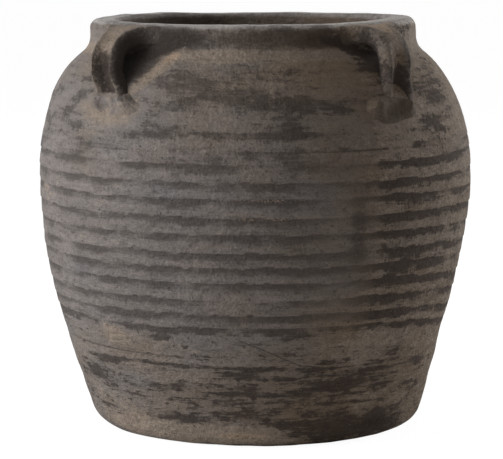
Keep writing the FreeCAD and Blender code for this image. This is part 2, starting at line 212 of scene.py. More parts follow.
# In the eyes of the lugs and under their arches: soot where no hand rubs it off, with painted shade that
# darkens these hollows, most of all in the tilted mark at -33 under the arch of the lug at -45
EYE_SOOT_AND_SHADE = (
    (-42, 360, 11, 15, 0, 1.6), (44, 364, 12, 12, 0, 1.2), (135, 362, 12, 14, 0, 1.5),
    (225, 362, 12, 14, 0, 1.5), (-33, 377, 8, 6, 0.9, 1.8),
    *((lug + 11 * side, 377, 8, 5, 0.8 * side, 1.1) for lug in LUG_BEARINGS for side in (-1, 1)),
)
SHOULDER_SOOT = (
    (20, 345, 24, 18, 0, 0.15), (-13, 342, 14, 17, 0, 0.55), (10, 340, 12, 14, 0, 0.1),
    (60, 335, 16, 20, 0, 0.4), (8, 330, 26, 6, 0, 0.3), (-30, 326, 7, 7, 0, 0.4), (-58, 325, 5, 9, 0, 0.45),
    (-62, 312, 12, 16, 0, 0.35), (54, 309, 5, 9, 0, 0.6), (12, 303, 16, 4, 0, 0.3), (-8, 301, 42, 5, 0, 0.5),
    (46, 288, 1.5, 4, 0, 0.8), (-3, 287, 2, 3, 0, 0.6), (31, 287, 5, 1.5, 0, 0.5),
)
BELLY_SOOT_AND_EDGE_LIGHT = (
    (34, 274, 2.3, 5, 0, 0.7), (27, 216, 2.6, 32, 0, 0.6), (15, 215, 18, 70, 0, 0.12),
    # The mark at -62 lightens the belly's left edge: partly spared clay, partly painted light where the key
    # lamp grazes it
    (-62, 205, 6, 75, 0, -0.4), (40, 200, 6, 80, 0, 0.25), (48, 171, 14, 11, 0, 0.4),
)
LOWER_SOOT = (
    (9, 110, 2, 1.5, 0, 0.8), (-28, 109, 4, 4, 0, 0.7), (-20, 101, 1, 2, 0, 0.9), (8, 96, 8, 3, 0, 0.3),
    (-14, 93, 9, 3, 0, 0.35), (-40, 92, 12, 2, 0, 0.3), (44, 92, 6, 5, 0, 0.5), (48, 87, 8, 5, 0, 0.5),
    (24, 86, 6, 3, 0, 0.5), (-38, 83, 8, 2.2, 0, 0.65), (-22, 82, 8, 2.5, 0, 0.75),
    (-10, 82, 7, 2.2, 0, 0.55), (-51, 81, 9, 2.5, 0, 0.75), (3, 81, 8, 2.5, 0, 0.8), (22, 80, 12, 2, 0, 0.4),
    (46, 80, 12, 1.8, 0, 0.65), (-5, 74, 7, 4, -0.4, 0.6), (42, 74, 10, 1.6, 0, 0.65), (58, 74, 8, 5, 0, 0.6),
    (-33, 70, 9, 14, 0, -0.25), (10, 70, 3, 1.5, 0, 0.8), (33, 68, 9, 12, 0, 0.25), (46, 67, 9, 1.8, 0, 0.6),
    (27, 65, 8, 1.8, 0, 0.55), (-60, 64, 6, 9, 0, 0.65), (20, 62, 30, 40, 0, 0.18), (28, 62, 10, 6, 0, 0.3),
    (-55, 60, 7, 10, -0.5, 0.4), (-29, 60, 8, 3.5, -0.2, 0.65), (18, 60, 8, 1.8, 0.2, 0.55),
    (20, 60, 9, 4, 0, 0.4), (46, 58, 8, 1.6, 0.1, 0.5), (-8, 57, 8, 4, 0, 0.4), (8, 55, 8, 1.8, 0, 0.6),
    (30, 52, 10, 1.6, 0, 0.5), (55, 50, 8, 6, 0, 0.5), (-22, 47, 8, 4, -0.2, 0.7), (-45, 46, 9, 4, -0.2, 0.3),
    (26, 44, 12, 1.8, 0, 0.45), (40, 42, 11, 1.8, -0.2, 0.8), (62, 40, 10, 10, 0, 0.4),
    (-3, 36, 9, 4, 0, 0.45), (-25, 29, 12, 4, -0.1, 0.8), (-55, 27, 10, 6, -0.5, 0.55),
    (25, 24, 28, 12, 0, 0.5), (47, 24, 10, 11, 0, 0.7), (12, 20, 10, 8, 0, 0.4), (-40, 18, 12, 10, 0, -0.25),
    (-4, 17, 12, 10, 0, -0.85), (-12, 17, 10, 4, 0, 0.35), (38, 12, 24, 10, 0, 0.85),
)
# The back, which was smoked in the same fire, has the marks of the front mirrored
BACK_SOOT = tuple((180 - bearing, height, half_width, half_height, -rise, strength)
                  for bearing, height, half_width, half_height, rise, strength in SHOULDER_SOOT + LOWER_SOOT)
SOOT_SHADE_AND_LIGHT_MARKS = COLLAR_SOOT_SHADE_AND_LIGHT + EYE_SOOT_AND_SHADE + SHOULDER_SOOT + BELLY_SOOT_AND_EDGE_LIGHT + LOWER_SOOT + BACK_SOOT
# Clay rubbed back to buff; the mark at -76 on the collar is also painted light on the pot's left edge
BUFF_AND_EDGE_LIGHT_MARKS = (
    # Collar and neck
    (70, 384, 14, 12, 0, 0.6), (-76, 380, 14, 12, 0, 0.4), (0, 372, ALL_ROUND, 6, 0, 0.5),
    (10, 372, 34, 6, 0, 0.2), (-14, 371, 14, 7, 0, 0.6), (-31, 357, 6.5, 11, 2.8, 1.4),
    # Shoulder
    (5, 340, 0.8, 15, 0, 0.6), (8, 338, 0.8, 14, 0, 0.5), (-44, 320, 12, 14, 0, 0.8),
    (45, 318, 11, 12, 0, 0.5), (135, 318, 12, 14, 0, 0.7), (225, 318, 11, 13, 0, 0.7),
    (-50, 297, 6, 6, 0, 0.5), (41, 297, 8, 10, 0, 0.45),
    # Belly
    (-70, 235, 5, 10, 0, 0.4), (265, 210, 10, 16, 0, 0.5), (150, 150, 14, 20, 0, 0.6),
    (-44, 107, 5.5, 10, 0, 0.8), (-22, 100, 30, 6, 0, 0.25), (29, 97, 13, 19, 0, 0.55),
    # Lower wall and foot
    (205, 90, 16, 15, 0, 0.6), (-52, 30, 16, 22, 0, 0.5), (-26, 13, 30, 12, 0, 1.1), (2, 13, 14, 9, 0, 1.0),
)
# Chips that show the pale clay inside
CHIP_MARKS = (
    (3, 243, 9, 1.6, 0, 1), (3, 226, 9, 1.6, 0, 1), (-31, 286.5, 3, 1, 0, 0.9), (-33, 331, 1.2, 5, 0, 1),
    (40, 336, 1.5, 3, 0, 0.7), (160, 240, 12, 2, 0, 0.8), (250, 165, 9, 2, 0, 0.8),
)
MARK_END = 2  # half widths from its middle to where a mark ends
MARK_EDGE = 1.6  # how steeply a mark runs out

# Scratches: places that a fine line runs through, bearing and height, then its strength
SCRATCHES = (
    (((-72, 93.5), (-50, 92), (-21, 90.6)), 0.7),
    (((-4, 109), (2.5, 100), (13, 84), (24, 79), (31, 80)), 0.8),
    (((14, 78), (20, 73), (31, 71)), 0.6),
    (((18.5, 299), (23, 287)), 0.4),
    (((27, 298), (23, 287)), 0.4),
    (((33, 371), (37, 376)), 0.8),
    (((-23.5, 110), (-23.3, 103)), 0.6),
    (((60, 118), (67, 100)), 0.4),
)

# Recorded at each place of the clay. Brown is how brown it is, and dry how dry the brush of its soot was.
MARK_NAMES = ("soot", "buff", "chip", "brown", "dry")


# Measures

def bearing_of(place):
    return math.degrees(math.atan2(place.y, place.x)) - VIEW_TURN


def turned(difference):
    """An angle between two bearings, from -180 to 180."""
    return (difference + 180) % 360 - 180


def blend(start, finish, share):
    return start + (finish - start) * share


def eased(share):
    """Eases from 0 to 1 as the share goes from 0 to 1, and stays there."""
    held = min(1.0, max(0.0, share))
    return held * held * (3 - 2 * held)


def ramp(value, middle, blur):
    """Rises from 0 to 1 about the middle, or falls from 1 to 0 where the blur is less than nothing."""
    return 1 / (1 + math.exp((middle - value) / blur))


def bell(offset, half_width):
    """1 in the middle, running out to 0 past the half width."""
    return math.exp(-(offset / half_width) ** 2)


@functools.lru_cache(maxsize=None)
def along(stations, height):
    """Smooth value at a height between the stations, each a height and a value."""
    for (low, before), (high, after) in zip(stations, stations[1:]):
        if height <= high:
            return blend(before, after, eased((height - low) / (high - low)))
    return stations[-1][1]


def sway(height):
    return RIGHTWARD * (along(SWAY, height) * MM)


def rim_rise(bearing, height):
    """How far the uneven rim lifts the clay at a bearing and height."""
    share = eased((height - RIM_RISE_START) / (RIM_RISE_FULL - RIM_RISE_START))
    rise = sum(most * bell(turned(bearing - middle), half) for middle, half, most in RIM_RISES)
    return Vector((0, 0, rise * share * MM))


def wall_noise(bearing, height, fineness, swing):
    """Noise over the wall, as fine round the pot as asked and with swings of that height."""
    angle = math.radians(bearing)
    return noise.noise((math.cos(angle) * fineness, math.sin(angle) * fineness, height / swing))


def round_noise(bearing, swings, layer):
    """Noise that closes on itself round the pot, with about that many swings in a turn."""
    layer_gap = 7.31
    fineness = swings / 6
    return wall_noise(bearing, layer * layer_gap, fineness, 1)


def round_waves(waves, bearing, number):
    return sum(strength * round_noise(bearing, swings, number + layer) for strength, swings, layer in waves)


# Half section of the pot

LOWER_CENTRE = BELLY_RADIUS - LOWER_CURVE
UPPER_CENTRE = BELLY_RADIUS - UPPER_CURVE
FLANK_RADIUS = LOWER_CENTRE + math.sqrt(LOWER_CURVE ** 2 - (BELLY_HEIGHT - FLANK_TOP) ** 2)
FLANK_SLOPE = (FLANK_RADIUS - FOOT_RADIUS) / FLANK_TOP
FLANK_LEAN = math.atan(FLANK_SLOPE)
SHOULDER_UP = SHOULDER_HEIGHT - BELLY_HEIGHT
SHOULDER_LEAN = math.asin(SHOULDER_UP / UPPER_CURVE)
SHOULDER_CENTRE = Vector((
    UPPER_CENTRE + (UPPER_CURVE - SHOULDER_CURVE) * math.cos(SHOULDER_LEAN),
    BELLY_HEIGHT + (UPPER_CURVE - SHOULDER_CURVE) * math.sin(SHOULDER_LEAN),
))
NECK_ACROSS = COLLAR_RADIUS + NECK_CURVE - SHOULDER_CENTRE.x
NECK_LEAN = math.acos(NECK_ACROSS / (SHOULDER_CURVE + NECK_CURVE))
NECK_WAY = Vector((math.cos(NECK_LEAN), math.sin(NECK_LEAN)))
NECK_CENTRE = SHOULDER_CENTRE + (SHOULDER_CURVE + NECK_CURVE) * NECK_WAY
NECK_OUTSIDE = SHOULDER_CENTRE + SHOULDER_CURVE * NECK_WAY
NECK_INSIDE = SHOULDER_CENTRE + (SHOULDER_CURVE - WALL) * NECK_WAY


def wall_radius(height, inward=0.0):
    """Radius of the wall's outside at a height, or of a skin that lies inward of it."""
    if height < FLANK_TOP - inward * FLANK_LEAN:
        return FOOT_RADIUS + FLANK_SLOPE * height - inward / math.cos(FLANK_LEAN)
    if height < BELLY_HEIGHT:
        return LOWER_CENTRE + math.sqrt((LOWER_CURVE - inward) ** 2 - (height - BELLY_HEIGHT) ** 2)
    if height < BELLY_HEIGHT + (UPPER_CURVE - inward) * math.sin(SHOULDER_LEAN):
        return UPPER_CENTRE + math.sqrt((UPPER_CURVE - inward) ** 2 - (height - BELLY_HEIGHT) ** 2)
    up = min(height - SHOULDER_CENTRE.y, SHOULDER_CURVE - inward)
    return SHOULDER_CENTRE.x + math.sqrt((SHOULDER_CURVE - inward) ** 2 - up ** 2)


@functools.lru_cache(maxsize=None)
def wall_normal(height):
    """Outward direction of the wall in its half section, across and up."""
    step = 0.5 * MM
    run = Vector((wall_radius(height + step) - wall_radius(height - step), 2 * step)).normalized()
    return Vector((run.y, -run.x))


def arc(centre, radius, start, finish, pieces):
    """Places along an arc, from a start angle to a finish angle in degrees."""
    angles = (math.radians(blend(start, finish, number / pieces)) for number in range(pieces + 1))
    return [(centre[0] + radius * math.cos(angle), centre[1] + radius * math.sin(angle)) for angle in angles]


def stretch(start, finish, pieces):
    """Places along a straight line, without its ends."""
    shares = [number / pieces for number in range(1, pieces)]
    return [(blend(start[0], finish[0], share), blend(start[1], finish[1], share)) for share in shares]


# What the throwing, the smoke and the rubbing did to the outside

def facing(bearing):
    """How far a bearing faces the camera: 1 over the whole front, running out to 0 round the back."""
    return eased((FRONT_END - abs(turned(bearing))) / FRONT_FADE)


def right_side(bearing):
    """How much of the rougher, browner right side a bearing has."""
    return 0.5 + facing(bearing) * (ramp(turned(bearing), RIGHT_EDGE, RIGHT_EDGE_BLUR) - 0.5)


def wiped(bearing):
    """How much of the upright stroke that was wiped smooth, beside the rougher right side, a bearing has."""
    return math.exp(-((turned(bearing) - WIPED_MIDDLE) / WIPED_HALF) ** 4)


def brownness(bearing, height):
    """How far the clay is from smoke grey to brown: more to the right, near the neck and low down. Towards
    the right it is partly the clay's own tan and partly a painted warm tint of the side in shade.
    """
    swing = max(-90, min(90, turned(bearing - GREY_TO_BROWN) * BROWN_SPREAD))
    to_the_right = 0.5 + 0.5 * facing(bearing) * math.sin(math.radians(swing))
    return 0.95 * to_the_right + 0.3 * ramp(height, BROWN_FOOT, -14) + 0.3 * ramp(height, BROWN_NECK, 12)


@functools.lru_cache(maxsize=None)
def lips_at(bearing):
    """Each lip's height, depth and soot at a bearing, from the top down."""
    lips = []
    for number, (height, stains) in enumerate(LIPS):
        past = min(max(bearing - DROOP_START, 0), DROOP_REACH)
        droop = DROOP * (DROOP_TOP - height) / DROOP_SPAN * past ** 2
        soot = LIP_SOOT + round_waves(LIP_STAINING, bearing, number)
        soot *= 1 - 0.35 * wiped(bearing) + 0.8 * right_side(bearing)
        for middle, half, strength in stains:
            reach = abs(turned(bearing - middle)) / half
            soot += (strength - EVEN_STAIN) * math.exp(-reach ** 3)
        depth = LIP_DEPTH * (0.75 + round_waves(LIP_DEEPENING, bearing, number))
        lips.append((height + round_waves(LIP_WANDER, bearing, number) - droop, depth, soot))
    return lips


@functools.lru_cache(maxsize=None)
def marks_at(marks, bearing):
    """The marks that cross a bearing: height there, half height, how far off the middle, and strength."""
    crossing = []
    for middle, level, half_width, half_height, rise, most in marks:
        across = turned(bearing - middle)
        if abs(across) < MARK_END * half_width:
            crossing.append((level + rise * across, half_height, (across / half_width) ** 2, most))
    return crossing


def mark_strength(marks, bearing, height):
    """How strong the marks are together at a bearing and height."""
    strength = 0.0
    for level, half_height, off_middle, most in marks_at(marks, round(bearing, 2)):
        reach = off_middle + ((height - level) / half_height) ** 2
        if reach < MARK_END ** 2:
            strength += most * math.exp(-reach ** MARK_EDGE)
    return strength


def relief(bearing, height):
    """How far the outside stands proud of its even curve, in millimetres, and the soot that lies there."""
    proud = sum(most * wall_noise(bearing, height, fineness, swing) for most, fineness, swing in WALL_WAVES)
    patches = LOW_PATCHES + ADDED_PATCHES * ramp(height, PATCHES_START, 8)
    soot = SOOT_VEIL + patches * wall_noise(bearing, height, *PATCH_GRAIN)
    soot += FLECKS * wall_noise(bearing, height, *FLECK_GRAIN)
    if LOW_SEAM / MM < height < HIGH_SEAM / MM:
        lips_above = [lip for lip in lips_at(round(bearing, 2)) if lip[0] >= height]
        if lips_above:
            level, depth, stain = lips_above[-1]
            drop = level - height
            proud -= depth * math.exp(-drop / LIP_FADE)
            stain *= min(1.0, EDGE_SOOT + drop) * blend(TOP_SOOT, FOOT_SOOT, drop / LIP_FADE)
            soot = BELLY_VEIL * soot + stain * ramp(drop, LIP_FADE, -LIP_FADE_EDGE)
    for seam, depth in SEAMS:
        opened = max(0.0, SEAM_OPEN + SEAM_UNEVEN * round_noise(bearing, SEAM_SWINGS, seam))
        cut = depth * bell(height - seam, SEAM_HALF_WIDTH) * opened
        proud -= cut
        soot += SEAM_SOOT * cut
    return proud, soot


def soot_shade_and_light_at(bearing, height):
    """All the soot on the wall at a bearing and height, with the painted shade and painted light among its
    marks.
    """
    return relief(bearing, height)[1] + mark_strength(SOOT_SHADE_AND_LIGHT_MARKS, bearing, height)


# Making pieces

def new_piece(name, bm, node, finish):
    """Turns a finished bmesh into a piece that stands for a node."""
    bmesh.ops.remove_doubles(bm, verts=bm.verts, dist=WELD)
    bmesh.ops.recalc_face_normals(bm, faces=bm.faces)
    for face in bm.faces:
        face.smooth = True
    for edge in bm.edges:
        edge.smooth = edge.calc_face_angle(0) < SHARP_EDGE
    mesh = bpy.data.meshes.new(name)
    bm.to_mesh(mesh)
    bm.free()
    mesh.materials.append(finish)
    piece = bpy.data.objects.new(name, mesh)
    bpy.context.collection.objects.link(piece)
    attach(piece, "root")
    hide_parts(node)


def new_layers(bm):
    return {name: bm.verts.layers.float.new(name) for name in MARK_NAMES}


def record(vert, layers, **marks):
    """Records how much of each mark the clay has at a place."""
    for name, amount in marks.items():
        vert[layers[name]] = amount


def spin_section(section):
    """Spins a closed half section, places of radius and height, into a ring of clay."""
    bm = bmesh.new()
    verts = [bm.verts.new((radius, 0, height)) for radius, height in section]
    for first, second in zip(verts, verts[1:] + verts[:1]):
        bm.edges.new((first, second))
    sectors = 2 ** DOUBLINGS
    sector = math.tau / sectors
    bmesh.ops.spin(bm, geom=bm.verts[:] + bm.edges[:], cent=(0, 0, 0), axis=(0, 0, 1), dvec=(0, 0, 0),
                   angle=sector, steps=COLUMNS // sectors, use_merge=False, use_duplicate=False)
    for doubling in range(DOUBLINGS):
        copied = bmesh.ops.duplicate(bm, geom=bm.verts[:] + bm.edges[:] + bm.faces[:])["geom"]
        turn = Matrix.Rotation(sector * 2 ** doubling, 3, "Z")
        bmesh.ops.rotate(bm, cent=(0, 0, 0), matrix=turn,
                         verts=[part for part in copied if isinstance(part, bmesh.types.BMVert)])
    bmesh.ops.remove_doubles(bm, verts=bm.verts, dist=WELD)
    bmesh.ops.recalc_face_normals(bm, faces=bm.faces)
    bm.normal_update()
    return bm


def record_outside(vert, layers, bearing, height, soot):
    """Records the marks at a place on the outside, over the soot that its relief holds."""
    rough = right_side(bearing)
    # These marks carry painted shade and painted light as well as soot; strong ones, the painted shade in the
    # lugs' eyes among them, get the driest brush and go fully dark
    smoked = mark_strength(SOOT_SHADE_AND_LIGHT_MARKS, bearing, height)
    brushed = along(DRY, height)
    if WIPED_FOOT < vert.co.z < HIGH_SEAM:
        brushed *= 1 - 0.45 * wiped(bearing)
    record(vert, layers,
           soot=soot + smoked,
           buff=mark_strength(BUFF_AND_EDGE_LIGHT_MARKS, bearing, height) + 0.4 * rough,
           chip=mark_strength(CHIP_MARKS, bearing, height),
           brown=brownness(bearing, height),
           dry=max(brushed, 0.75 * rough, min(1.05, 0.7 * smoked)))


def work_clay(bm, skin_radius):
    """Presses the hand's work into a turned piece and records its marks.

    skin_radius gives, at a height, the radius past which a place belongs to the outside."""
    layers = new_layers(bm)
    moves = []
    for vert in bm.verts:
        bearing = bearing_of(vert.co)
        height = vert.co.z / MM
        across = Vector((vert.co.x, vert.co.y, 0))
        way = vert.normal
        if across.length > skin_radius(vert.co.z):
            proud, soot = relief(bearing, height)
            record_outside(vert, layers, bearing, height, soot)
            if SLAB_TOP - 1 * MM < vert.co.z < NECK_OUTSIDE.y + 0.5 * MM:
                lean = wall_normal(round(vert.co.z, 6))
                angle = math.atan2(vert.co.y, vert.co.x)
                way = Vector((lean.x * math.cos(angle), lean.x * math.sin(angle), lean.y))
        else:
            proud = INSIDE_UNEVEN * noise.noise(vert.co * INSIDE_FINENESS)
            if vert.normal.z < -0.9:
                proud -= UNDERSIDE_HOLLOW
            record(vert, layers, soot=0.72, brown=0.8, dry=0.4)
        swell = across.normalized() * (along(SWELL, height) * MM)
        moves.append((vert, way * proud * MM + sway(height) + rim_rise(bearing, height) + swell))
    for vert, move in moves:
        vert.co += move
        vert.co.z = max(vert.co.z, 0)


def make_wall(node, low, high):
    """A ring of wall between two heights, with its outer skin cut into fine rows."""
    rows = round((high - low) / ROW)
    outside = [low + (high - low) * number / rows for number in range(rows + 1)]
    inside = outside[::-ROWS_PER_INNER_ROW] + [low]
    section = [(wall_radius(height), height) for height in outside]
    section += [(wall_radius(height, WALL), height) for height in dict.fromkeys(inside)]
    bm = spin_section(section)
    work_clay(bm, lambda height: wall_radius(height, WALL * 0.3))
    new_piece(node + "_clay", bm, node, CLAY)


def make_base_slab():
    """Disc with a rounded foot and a drain hole."""
    ground = FOOT_RADIUS - FOOT_ROUND * math.tan((math.pi / 2 - FLANK_LEAN) / 2)
    foot = arc((ground, FOOT_ROUND), FOOT_ROUND, -90, -math.degrees(FLANK_LEAN), pieces=14)
    edge = (wall_radius(SLAB_TOP), SLAB_TOP)
    drain_top, drain_foot = (DRAIN_RADIUS, SLAB_TOP), (DRAIN_RADIUS, 0)
    section = [
        *foot, edge,
        *stretch(edge, drain_top, pieces=30), drain_top,
        *stretch(drain_top, drain_foot, pieces=5), drain_foot,
        *stretch(drain_foot, foot[0], pieces=30),
    ]
    bm = spin_section(section)
    work_clay(bm, lambda height: ground + 1 * MM)
    new_piece("base_slab_clay", bm, "base_slab", CLAY)


def make_rim_collar():
    """Thick ring with a rounded rim, set into the neck of the dome."""
    neck = arc(NECK_CENTRE, NECK_CURVE, 180 + math.degrees(NECK_LEAN), 180, pieces=12)
    rim = arc((COLLAR_RADIUS - RIM_ROUND, RIM_HEIGHT - RIM_ROUND), RIM_ROUND, 0, 90, pieces=9)
    mouth = arc((MOUTH_RADIUS + MOUTH_ROUND, RIM_HEIGHT - MOUTH_ROUND), MOUTH_ROUND, 90, 180, pieces=7)
    throat = (MOUTH_RADIUS, RIM_HEIGHT - MOUTH_DEPTH)
    seat = tuple(NECK_INSIDE)
    section = [
        *neck, *stretch(neck[-1], rim[0], pieces=5),
        *rim, *stretch(rim[-1], mouth[0], pieces=8),
        *mouth, *stretch(mouth[-1], throat, pieces=8),
        throat, *stretch(throat, seat, pieces=16), seat,
    ]
    bm = spin_section(section)
    work_clay(bm, lambda height: MOUTH_RADIUS + 4 * MM if height > NECK_OUTSIDE.y else COLLAR_RADIUS)
    new_piece("rim_collar_clay", bm, "rim_collar", RIM_CLAY)


# Lugs and their pads, in millimetres and degrees

class Lug(NamedTuple):
    """A lug with its pad."""
    side: str
    number: int  # picks its own noise
    turn: float  # from +X
    root_turn: float  # how far its root, foot and pad are turned past that
    foot_turn: float
    pad_turn: float
    pad_height: float
    thumb_start: float  # share of the way down the strap
    buff: float  # bare clay on top of the strap, and on the right lug also painted light on its top
    line: tuple  # radius and height of its outer face


LUG_ROOT = ((138, 393), (148, 397.4))  # inside the rim, the same on all the lugs
LUGS = (
    Lug("front", 1, turn=270, root_turn=-2.5, foot_turn=4.5, pad_turn=3, pad_height=326,
        thumb_start=0.24, buff=1.3,
        line=LUG_ROOT + ((160, 397.8), (172, 395.2), (184, 389.2), (194, 380), (200.5, 369), (204, 357.5),
                         (203, 347), (201.5, 337), (200, 327.5), (197, 318))),
    # The right lug's larger buff is partly bare clay and partly painted light on the top of its strap, where
    # a top light would fall
    Lug("right", 2, turn=0, root_turn=0, foot_turn=-1, pad_turn=-5, pad_height=322,
        thumb_start=0.4, buff=3.6,
        line=LUG_ROOT + ((160, 398.2), (172, 396.2), (183, 391), (191, 382.5), (195.5, 372), (197.5, 360),
                         (198.5, 348), (198.5, 338), (198.5, 328), (196.5, 318))),
    Lug("back", 3, turn=90, root_turn=1, foot_turn=-1.5, pad_turn=0, pad_height=324,
        thumb_start=0.32, buff=1.3,
        line=LUG_ROOT + ((160, 398.0), (172, 395.6), (183.5, 389.8), (192.5, 381), (198, 370.5), (200.5, 359),
                         (200.5, 348), (199.8, 338), (199, 328), (196.5, 318))),
    Lug("left", 4, turn=180, root_turn=-1, foot_turn=1, pad_turn=1, pad_height=325,
        thumb_start=0.28, buff=1.3,
        line=LUG_ROOT + ((160, 397.9), (172, 395.4), (184, 389.5), (193.5, 380.5), (199.5, 370), (202, 358.5),
                         (201.5, 347.5), (200.5, 338), (199.5, 328), (196.5, 318))),
)
LUG_STATIONS = 84
LUG_GRAIN = 60  # swings in a metre
STRAP_HALF = 17.5
STRAP_THICKNESS = 16.5
STRAP_ROUND = 7
STRAP_UNEVEN = 1.2
ROOT_CURVE = 40  # of the strap's edges where they leave the rim, from above
ROOT_END = 191.5  # radius by which the strap has its even width
ROOT_REACH = 37.5  # from there in to where the edges meet the collar
ROOT_THICKER = 1.5
ROOT_SHARPER = 4  # how much less its lower edges are rounded
FOOT_START = 0.7  # share of the way down from which the foot spreads
FOOT_WIDER = 8
FOOT_THINNER = 2
THUMB_DEPTH = 9.5
THUMB_RUN = 0.36  # share of the way over which the hollow deepens
THUMB_WIDTH = 0.68  # of the strap's width
BARE_END = 0.55  # share of the way down where the bare clay, with the right lug's painted light, ends


class StrapPoint(NamedTuple):
    """A point of the strap's section: the corner that it belongs to, and the way its skin faces."""
    corner_across: float
    corner_up: float
    round_across: float
    round_up: float


def strap_section():
    """Points round the strap, from the right edge of its outer face by way of its inner face."""
    corners = ((1, 1), (1, -1), (-1, -1), (-1, 1))
    side_steps = (3, 12, 3, 22)
    corner_steps = 8
    points = []
    for number, (across, up) in enumerate(corners):
        far_across, far_up = corners[(number + 1) % len(corners)]
        angle = 90 - 90 * number
        for step in range(corner_steps):
            way = math.radians(angle - 90 * step / corner_steps)
            points.append(StrapPoint(across, up, math.cos(way), math.sin(way)))
        way = math.radians(angle - 90)
        steps = side_steps[number]
        for step in range(steps):
            share = step / steps
            points.append(StrapPoint(blend(across, far_across, share), blend(up, far_up, share),
                                     math.cos(way), math.sin(way)))
    return points


STRAP_SECTION = strap_section()


def on_curve(line, share):
    """Place on a smooth curve through the line's points, at a share of its way, and its direction there."""
    last = len(line) - 1
    number = min(int(share * last), last - 1)
    part = share * last - number
    nearby = (line[min(max(number + step, 0), last)] for step in (-1, 0, 1, 2))
    before, start, finish, after = (Vector(point) for point in nearby)
    lead, trail = (finish - before) / 2, (after - start) / 2
    place = ((2 * part ** 3 - 3 * part ** 2 + 1) * start + (part ** 3 - 2 * part ** 2 + part) * lead
             + (3 * part ** 2 - 2 * part ** 3) * finish + (part ** 3 - part ** 2) * trail)
    run = ((6 * part ** 2 - 6 * part) * start + (3 * part ** 2 - 4 * part + 1) * lead
           + (6 * part - 6 * part ** 2) * finish + (3 * part ** 2 - 2 * part) * trail)
    return place, run.normalized()


def strap_place(lug, share, point):
    """A place on the skin of a strap along +X, its soot with painted shade, and how far it is on the way into
    the rim.
    """
    place, run = on_curve(lug.line, share)
    out = Vector((-run.y, run.x))
    inward = min(max(0.0, ROOT_END - place.x), ROOT_REACH)
    rooted = inward / ROOT_REACH
    spread = max(0.0, (share - FOOT_START) / (1 - FOOT_START))
    half = STRAP_HALF + ROOT_CURVE - math.sqrt(ROOT_CURVE ** 2 - inward ** 2) + FOOT_WIDER * spread ** 1.5
    half += STRAP_UNEVEN * noise.noise((share * 6, lug.number * 2.3, 4))
    thickness = STRAP_THICKNESS + ROOT_THICKER * rooted - FOOT_THINNER * spread
    upper = STRAP_ROUND + ROOT_THICKER * rooted
    lower = STRAP_ROUND - ROOT_SHARPER * rooted
    edge = upper if point.corner_up > 0 else lower
    share_up = (1 + point.corner_up) / 2
    across = point.corner_across * (half - edge) + point.round_across * edge
    deep = blend(lower - thickness, -upper, share_up) + point.round_up * edge
    hollow = 0.0
    if point.round_up > 0.2:
        hollow = min(1.0, max(0.0, share - lug.thumb_start) / THUMB_RUN) ** 1.2
        hollow *= max(0.0, 1 - (across / STRAP_HALF / THUMB_WIDTH) ** 2) * (1 - 0.6 * spread)
        deep -= THUMB_DEPTH * hollow * (1 + 0.3 * noise.noise((share * 4, lug.number * 1.9, 9)))
    deep += 0.9 * noise.noise((across / 15, share * 7, lug.number * 3.7))
    deep += 0.4 * noise.noise((across / 5, share * 24, lug.number * 5.1))
    place = place + out * deep
    # Soot on the strap, with painted shade: its sides, the right side most, the face under it and the thumb's
    # hollow are made darker where shade falls on them
    soot = 0.25 + 0.9 * abs(point.round_across) + 0.5 * point.round_across + 1.1 * max(0.0, -point.round_up)
    soot += 1.75 * hollow * min(1.0, max(0.15, (share - 0.35) / 0.3))
    return Vector((place.x, across, place.y)) * MM, soot * (1 - 0.5 * spread), rooted


def make_lug(lug):
    """Strap pulled out of the rim, bent down to the shoulder and thumbed along its outer face."""
    bm = bmesh.new()
    layers = new_layers(bm)
    bmesh.ops.create_circle(bm, cap_ends=True, segments=len(STRAP_SECTION), radius=STRAP_HALF * MM)
    face = bm.faces[:][0]
    for station in range(LUG_STATIONS + 1):
        if station:
            made = bmesh.ops.extrude_face_region(bm, geom=[face, *face.edges])["geom"]
            face = next(part for part in made if isinstance(part, bmesh.types.BMFace))
        share = station / LUG_STATIONS
        turn = lug.turn + blend(lug.root_turn, lug.foot_turn, share ** 2)
        about = Matrix.Rotation(math.radians(turn), 3, "Z")
        for point, vert in zip(STRAP_SECTION, face.verts):
            place, soot, rooted = strap_place(lug, share, point)
            grain = noise.noise(place * LUG_GRAIN + Vector((0, 0, lug.number)))
            place = about @ place
            bearing = bearing_of(place)
            height = place.z / MM
            vert.co = place + sway(height) + rim_rise(bearing, height)
            merged = max(0.0, rooted - 0.5) / 0.5 * abs(point.round_across)
            middle = max(0.0, 1 - 1.2 * point.corner_across ** 2)
            bare_and_lit_top = max(0.0, 1 - share / BARE_END) * max(0.0, point.round_up) * (0.3 + middle)
            brown = brownness(bearing, height)
            # The strap's soot carries its painted shade, and the darker it is, the drier and darker its brush
            record(vert, layers,
                   soot=blend(soot + 0.5 * grain, soot_shade_and_light_at(bearing, height), merged),
                   buff=lug.buff * bare_and_lit_top - 0.4 * grain,
                   brown=blend(0.45 + 0.55 * brown * middle, brown, merged),
                   dry=0.5 + min(0.45, max(0.0, 0.4 * soot - 0.1)) * (1 - merged))
    new_piece(f"lug_{lug.side}_clay", bm, f"lug_{lug.side}", LUG_CLAY)


PAD_HALF_WIDTH = 34
PAD_HALF_HEIGHT = 14
PAD_LEAN = 0.9  # height of what is seen of it on the leaning shoulder
PAD_CROWN = 3.2
PAD_SINK = 3  # how far it reaches into the wall
PAD_EDGE = 0.8  # how far its edge is pressed into the wall
# Lobes and dents of a pad: place across and up, spread, and how far it stands proud
PAD_LOBES = (
    (20, 3, 8, 7.5), (-20, 4.5, 11, 8), (0, 6, 9, 2),
    (-3, -4, 6, -3), (8, -3, 4, -2), (-10, -3, 4, -2),
)


